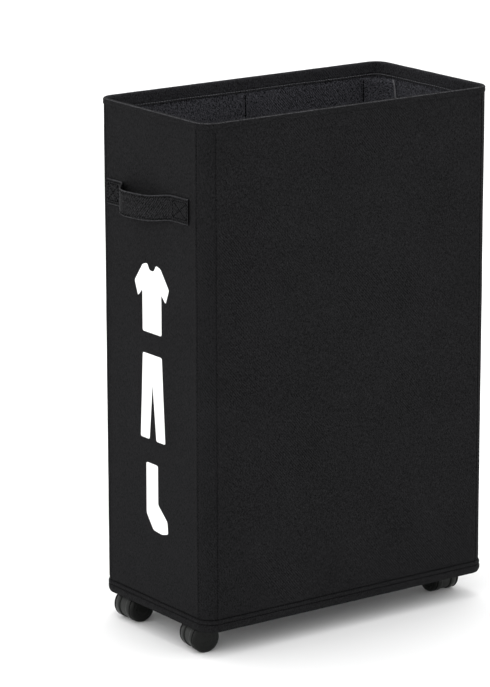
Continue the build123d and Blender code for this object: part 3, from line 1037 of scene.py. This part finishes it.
round_pitch = 3.4 * mm
seam_pitch = 3.3 * mm
hem_out = -2 * binding_radius - 0.1 * mm
hem_rows = row_round(lambda s: hem_low(s) + 2.0 * mm, lambda s: hem_out + rod_room(s), round_pitch, -1)
hem_thread = stitches("rim_stitching", hem_rows, 2.7 * mm, 0.32 * mm, grey_thread)
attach(hem_thread, "hamper")

band_rows = row_round(lambda s: band_top_z - 4.9 * mm, lambda s: -0.7 * mm, round_pitch)
# The second row is dark thread along the band's top edge: painted shadow for the line under the step there,
# and also a top-stitch
edge_shadow_z = band_top_z + 0.3 * mm
band_rows += row_round(lambda s: edge_shadow_z, lambda s: wall_swell(s, edge_shadow_z) - wall_inset, round_pitch)
band_thread = stitches("band_stitching", band_rows, 3.0 * mm, 0.42 * mm, dark_thread)
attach(band_thread, "hamper")

crease_spot = back_crease - 3.2 * mm
for i in range(int((binding_inner_z - floor_z) / upright_pitch) - 1):
    z = floor_z + 4 * mm + i * upright_pitch
    base, normal = outline(crease_spot)
    point = base + normal * (-room_inset - lining_swell(crease_spot, z)) + up * z
    lining_rows.append((point, up, -normal))
lining_thread = stitches("lining_stitches", lining_rows, 3.4 * mm, 0.62 * mm, dark_thread)
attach(lining_thread, "hamper")

seam_rows = []
seam_shift = 1.1 * mm
for seam in seams:
    base, normal = outline(seam + seam_shift)
    for i in range(int((binding_outer_z - band_top_z - 4 * mm) / seam_pitch)):
        z = band_top_z + 3 * mm + i * seam_pitch
        out = -wall_inset + wall_swell(seam + seam_shift, z)
        seam_rows.append((base + normal * (out + 0.05 * mm) + up * z, up, normal))
seam_thread = stitches("seam_stitches", seam_rows, 2.5 * mm, 0.26 * mm, dark_thread)
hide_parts("seam_stitching")
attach(seam_thread, "hamper")

# -------------------- printed signs
print_low, print_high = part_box("printed_signs")
print_middle = (print_low.y + print_high.y) / 2
print_half = (print_high.y - print_low.y) / 2
print_height = print_high.z - print_low.z


def rounded(points, radius, steps=4):
    """Closed outline whose corners are rounded by up to a radius."""
    curve = []
    count = len(points)
    for i in range(count):
        corner = Vector(points[i])
        before = Vector(points[i - 1]) - corner
        after = Vector(points[(i + 1) % count]) - corner
        cut = min(radius, before.length * 0.45, after.length * 0.45)
        start = corner + before.normalized() * cut
        end = corner + after.normalized() * cut
        for k in range(steps + 1):
            t = k / steps
            curve.append(start * (1 - t) ** 2 + corner * (2 * t * (1 - t)) + end * t ** 2)
    return curve


# Garment outlines in a box from -1 to 1 across and 0 to 1 up, mirrored where they are symmetric
shirt_half = [(0, 0.9), (0.13, 0.91), (0.26, 1.0), (0.52, 0.97)]
shirt_half += [(1.0, 0.7), (0.8, 0.49), (0.55, 0.6), (0.55, 0.0)]
trousers_half = [(0, 1.0), (0.55, 1.0), (0.72, 0.0), (0.2, 0.0), (0.0, 0.66)]
sock = [(-0.4, 1.0), (0.28, 1.0), (0.28, 0.42), (0.82, 0.22)]
sock += [(0.86, 0.04), (0.5, 0.0), (0.0, 0.02), (-0.4, 0.24)]


def mirrored(half):
    """Whole outline from its right half, which starts and may end on the middle line."""
    right = list(half)
    left = [(-x, y) for x, y in reversed(half) if x > 0]
    return right + left


signs = [
    (mirrored(shirt_half), 0.745, 1.0),
    (mirrored(trousers_half), 0.345, 0.665),
    (sock, 0.0, 0.255),
]


def printed_sign(name, shape, low, high):
    """One sign as a thin layer of ink that follows the wall's own surface."""
    tall = (high - low) * print_height
    points = [Vector((x * print_half, print_low.z + low * print_height + y * tall)) for x, y in shape]
    curve = rounded([tuple(p) for p in points], 2.4 * mm)
    work = bmesh.new()
    ring = [work.verts.new((0, -p.x, p.y)) for p in curve]
    work.faces.new(ring)
    step = 4 * mm
    for axis, start, end in ((1, -print_half, print_half), (2, print_low.z, print_high.z)):
        for i in range(1, int((end - start) / step)):
            normal = [0, 0, 0]
            normal[axis] = 1
            at = [0, 0, 0]
            at[axis] = start + i * step
            geometry = work.verts[:] + work.edges[:] + work.faces[:]
            bmesh.ops.bisect_plane(work, geom=geometry, plane_co=at, plane_no=normal)
    bmesh.ops.triangulate(work, faces=work.faces[:])
    for vertex in work.verts:
        y = vertex.co.y + print_middle
        out = -wall_inset + wall_swell(around_narrow(y, -1), vertex.co.z)
        vertex.co = Vector((-(half_x + out) - 0.1 * mm, y, vertex.co.z))
    layer = work.loops.layers.uv.new("cloth")
    for face in work.faces:
        for loop in face.loops:
            loop[layer].uv = (loop.vert.co.y, loop.vert.co.z)
    thick = bmesh.ops.extrude_face_region(work, geom=work.faces[:])
    for item in thick["geom"]:
        if isinstance(item, bmesh.types.BMVert):
            item.co.x -= 0.14 * mm
    bmesh.ops.recalc_face_normals(work, faces=work.faces[:])
    mesh = bpy.data.meshes.new(name)
    work.to_mesh(mesh)
    work.free()
    mesh.materials.append(white_ink)
    return link(bpy.data.objects.new(name, mesh))


ink = join("garment_signs", [printed_sign(f"sign_{i}", *sign) for i, sign in enumerate(signs)])
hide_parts("printed_signs")
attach(ink, "hamper")

# -------------------- casters
# Profiles are in millimetres: (along the axis, radius) for a wheel, (height, radius) for a head
joints = {joint["name"]: joint for joint in frame["joints"]}
wheel_radius = (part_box("wheel_a_back_left")[1].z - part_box("wheel_a_back_left")[0].z) / 2
wheel_profile = [
    (0.0, 0.0), (0.0, 2.2), (0.0, 14.9), (0.25, 15.5), (0.8, 15.9), (1.6, 16.0), (6.9, 16.0),
    (7.15, 15.8), (7.25, 14.8), (7.9, 14.6), (8.5, 14.8), (8.6, 15.7), (9.0, 15.98), (9.9, 15.6),
    (10.7, 15.0), (11.4, 14.1), (11.85, 13.0), (12.0, 12.3), (11.8, 11.9), (11.8, 11.4), (12.05, 11.0),
    (12.25, 8.2), (12.0, 7.5), (12.0, 7.1), (12.25, 6.7), (12.3, 4.0), (12.3, 0.0),
]
wheel_start = 5.7 * mm
# The groove rows get near-black plastic as painted shade; the face rows get a darker copy of the wheel
# plastic as painted shade
wheel_finishes = [(groove_shade_plastic, range(7, 11)), (shaded_face_plastic, range(11, 26))]


def caster_wheel(name, corner, letter):
    """Turned wheel with a crowned tread, a glossy bevel, and a dished face with a hub cap."""
    node = f"wheel_{letter}_{corner}"
    joint = joints[f"{node}_spin"]
    middle = middle_of(f"axle_{corner}")
    axis = Vector(joint["axis"]).normalized()
    if axis.dot(middle_of(node) - middle) < 0:
        axis = -axis
    inner_face = middle + axis * wheel_start
    profile = [(along * mm, radius * mm) for along, radius in wheel_profile]
    made = lathe(name, profile, inner_face, axis, wheel_plastic, wheel_finishes)
    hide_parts(node)
    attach(made, node)


def plate_profile(name, outline_points, thickness, centre, forward, sideways, material):
    """Plate with an outline in the (forward, up) plane, centred across its thickness."""
    vertices = []
    for side in (-0.5, 0.5):
        for a, b in outline_points:
            vertices.append(tuple(centre + forward * a + up * b + sideways * (side * thickness)))
    count = len(outline_points)
    faces = [tuple(range(count)), tuple(count + i for i in range(count))]
    for i in range(count):
        j = (i + 1) % count
        faces.append((i, j, count + j, count + i))
    return face_outwards(make_object(name, vertices, faces, material))


rib_radius = 14.95 * mm
rib_width = 10.7 * mm
rib_steps = 39
head_low = 33 * mm
head_profile = [
    (32.9, 0.0), (32.9, 4.0), (32.9, 11.6), (33.2, 12.4), (34.0, 13.0), (35.4, 13.0), (35.7, 12.6),
    (36.1, 12.6), (36.4, 13.0), (37.0, 13.0), (37.6, 12.5), (37.8, 11.5), (37.8, 4.0), (37.8, 0.0),
]


def caster_housing(corner):
    """Rib between the wheels, its neck, and the round swivel head under the plate."""
    stem = Vector(joints[f"swivel_{corner}"]["pos_m"])
    axle = middle_of(f"axle_{corner}")
    forward = Vector((axle.x - stem.x, axle.y - stem.y, 0))
    trail = forward.length
    forward.normalize()
    sideways = forward.cross(up)
    foot = Vector((stem.x, stem.y, 0))
    points = []
    for i in range(rib_steps + 1):
        angle = radians(-190 + 232 * i / rib_steps)
        points.append((trail + rib_radius * cos(angle), wheel_radius + rib_radius * sin(angle)))
    points += [(trail + 7.9 * mm, head_low - 2 * mm), (trail + 7.2 * mm, head_low + 0.6 * mm)]
    points += [(-5.9 * mm, head_low + 0.6 * mm), (-5.9 * mm, head_low - 8 * mm)]
    rib = bevel(plate_profile("rib", points, rib_width, foot, forward, sideways, housing_plastic), 0.5 * mm)
    profile = [(z * mm, r * mm) for z, r in head_profile]
    head = lathe("head", profile, foot, up, housing_plastic)
    made = join(f"housing_{corner}", [rib, head])
    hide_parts(f"caster_housing_{corner}")
    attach(made, f"swivel_{corner}")


for corner in corner_sides:
    caster_housing(corner)
    for letter in "ab":
        caster_wheel(f"wheel_{letter}_{corner}_turned", corner, letter)

# -------------------- carried-over parts
finishes = {
    "board": hidden_plastic,
    "rim_wire": coated,
    "support_rod": coated,
    "rod_caps": plug_plastic,
    "caster_plate": zinc,
    "swivel_pin": zinc,
    "axle": zinc,
    "caster_screws": zinc,
}
for name, made in frame["nodes"].items():
    for key, material in finishes.items():
        if key in name and made.material_slots:
            made.material_slots[0].material = material

# -------------------- stage, light and camera
bpy.ops.mesh.primitive_plane_add(size=60, location=(0, 0, 0))
floor = bpy.context.object
floor.name = "floor"
floor_nodes = Nodes("pale_floor")
floor_tone = floor_nodes.noise(floor_nodes.place(), 3.0, 3.0)
floor_colour = floor_nodes.ramp(floor_tone, grey(0.93, 1), grey(0.96, 1))
floor_nodes.shade("Base Color", floor_colour)
floor_nodes.shade("Roughness", 0.9)
floor_nodes.shade("Specular IOR Level", 0.1)
floor.data.materials.append(floor_nodes.material)

world = bpy.data.worlds.new("studio")
bpy.context.scene.world = world
world.use_nodes = True
background = world.node_tree.nodes["Background"]
background.inputs["Color"].default_value = (1, 1, 1, 1)
background.inputs["Strength"].default_value = 1.3


def area_light(name, place, aim, size, power):
    """Large soft light aimed at a point."""
    data = bpy.data.lights.new(name, "AREA")
    data.shape = "SQUARE"
    data.size = size
    data.energy = power
    made = bpy.data.objects.new(name, data)
    made.location = place
    made.rotation_mode = "QUATERNION"
    made.rotation_quaternion = (Vector(aim) - Vector(place)).to_track_quat("-Z", "Y")
    link(made)


area_light("left_soft", (-3.4, -0.4, 1.7), (0, 0, 0.3), 2.8, 20)
area_light("top_soft", (0.2, 0.6, 3.4), (0, 0, 0.3), 2.0, 30)

camera_data = bpy.data.cameras.new("camera")
camera_data.lens = 190.5
camera_data.sensor_width = 36
camera_data.dof.use_dof = False
camera = bpy.data.objects.new("camera", camera_data)
camera_place = Vector((-2.2813, -3.0922, 1.2806))
camera_aim = Vector((-0.0448, 0.032, 0.2984))
camera_roll = radians(-0.14)
camera.location = camera_place
camera.rotation_mode = "QUATERNION"
look = (camera_aim - camera_place).to_track_quat("-Z", "Y")
camera.rotation_quaternion = look @ Matrix.Rotation(camera_roll, 3, "Z").to_quaternion()
camera_data.clip_end = 200
link(camera)
bpy.context.scene.camera = camera
bpy.context.scene.view_settings.view_transform = "Standard"
